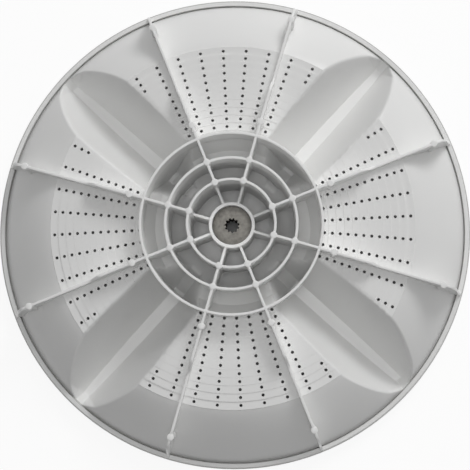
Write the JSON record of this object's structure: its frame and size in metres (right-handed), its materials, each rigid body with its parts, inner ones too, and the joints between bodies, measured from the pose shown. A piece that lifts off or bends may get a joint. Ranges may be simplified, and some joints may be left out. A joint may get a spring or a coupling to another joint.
{
  "type": "washing machine pulsator",
  "caption": "Round pulsator for a top-loading washing machine: perforated bowl with hollow vanes, a ribbed ring hub and a splined bush in the central boss.",
  "frame": {"origin": "on the pulsator's axis, in the plane of the four vane crests it rests on, at the bottom of its box", "axes": "+Z along the axis of rotation, out of the ribbed underside towards the drive shaft's side; +X and +Y through the middles of two perforated panels, so the vanes lie at 45 degrees between them"},
  "size_m": [0.35, 0.35, 0.0642],
  "materials": {
    "moulding": "pale grey-white polypropylene, satin as moulded",
    "bush": "sintered steel, matt grey with a faint grain"
  },
  "bodies": {
    "root": {"pulsator_body": "moulding", "spline_bush": "bush"}
  },
  "joints": []
}
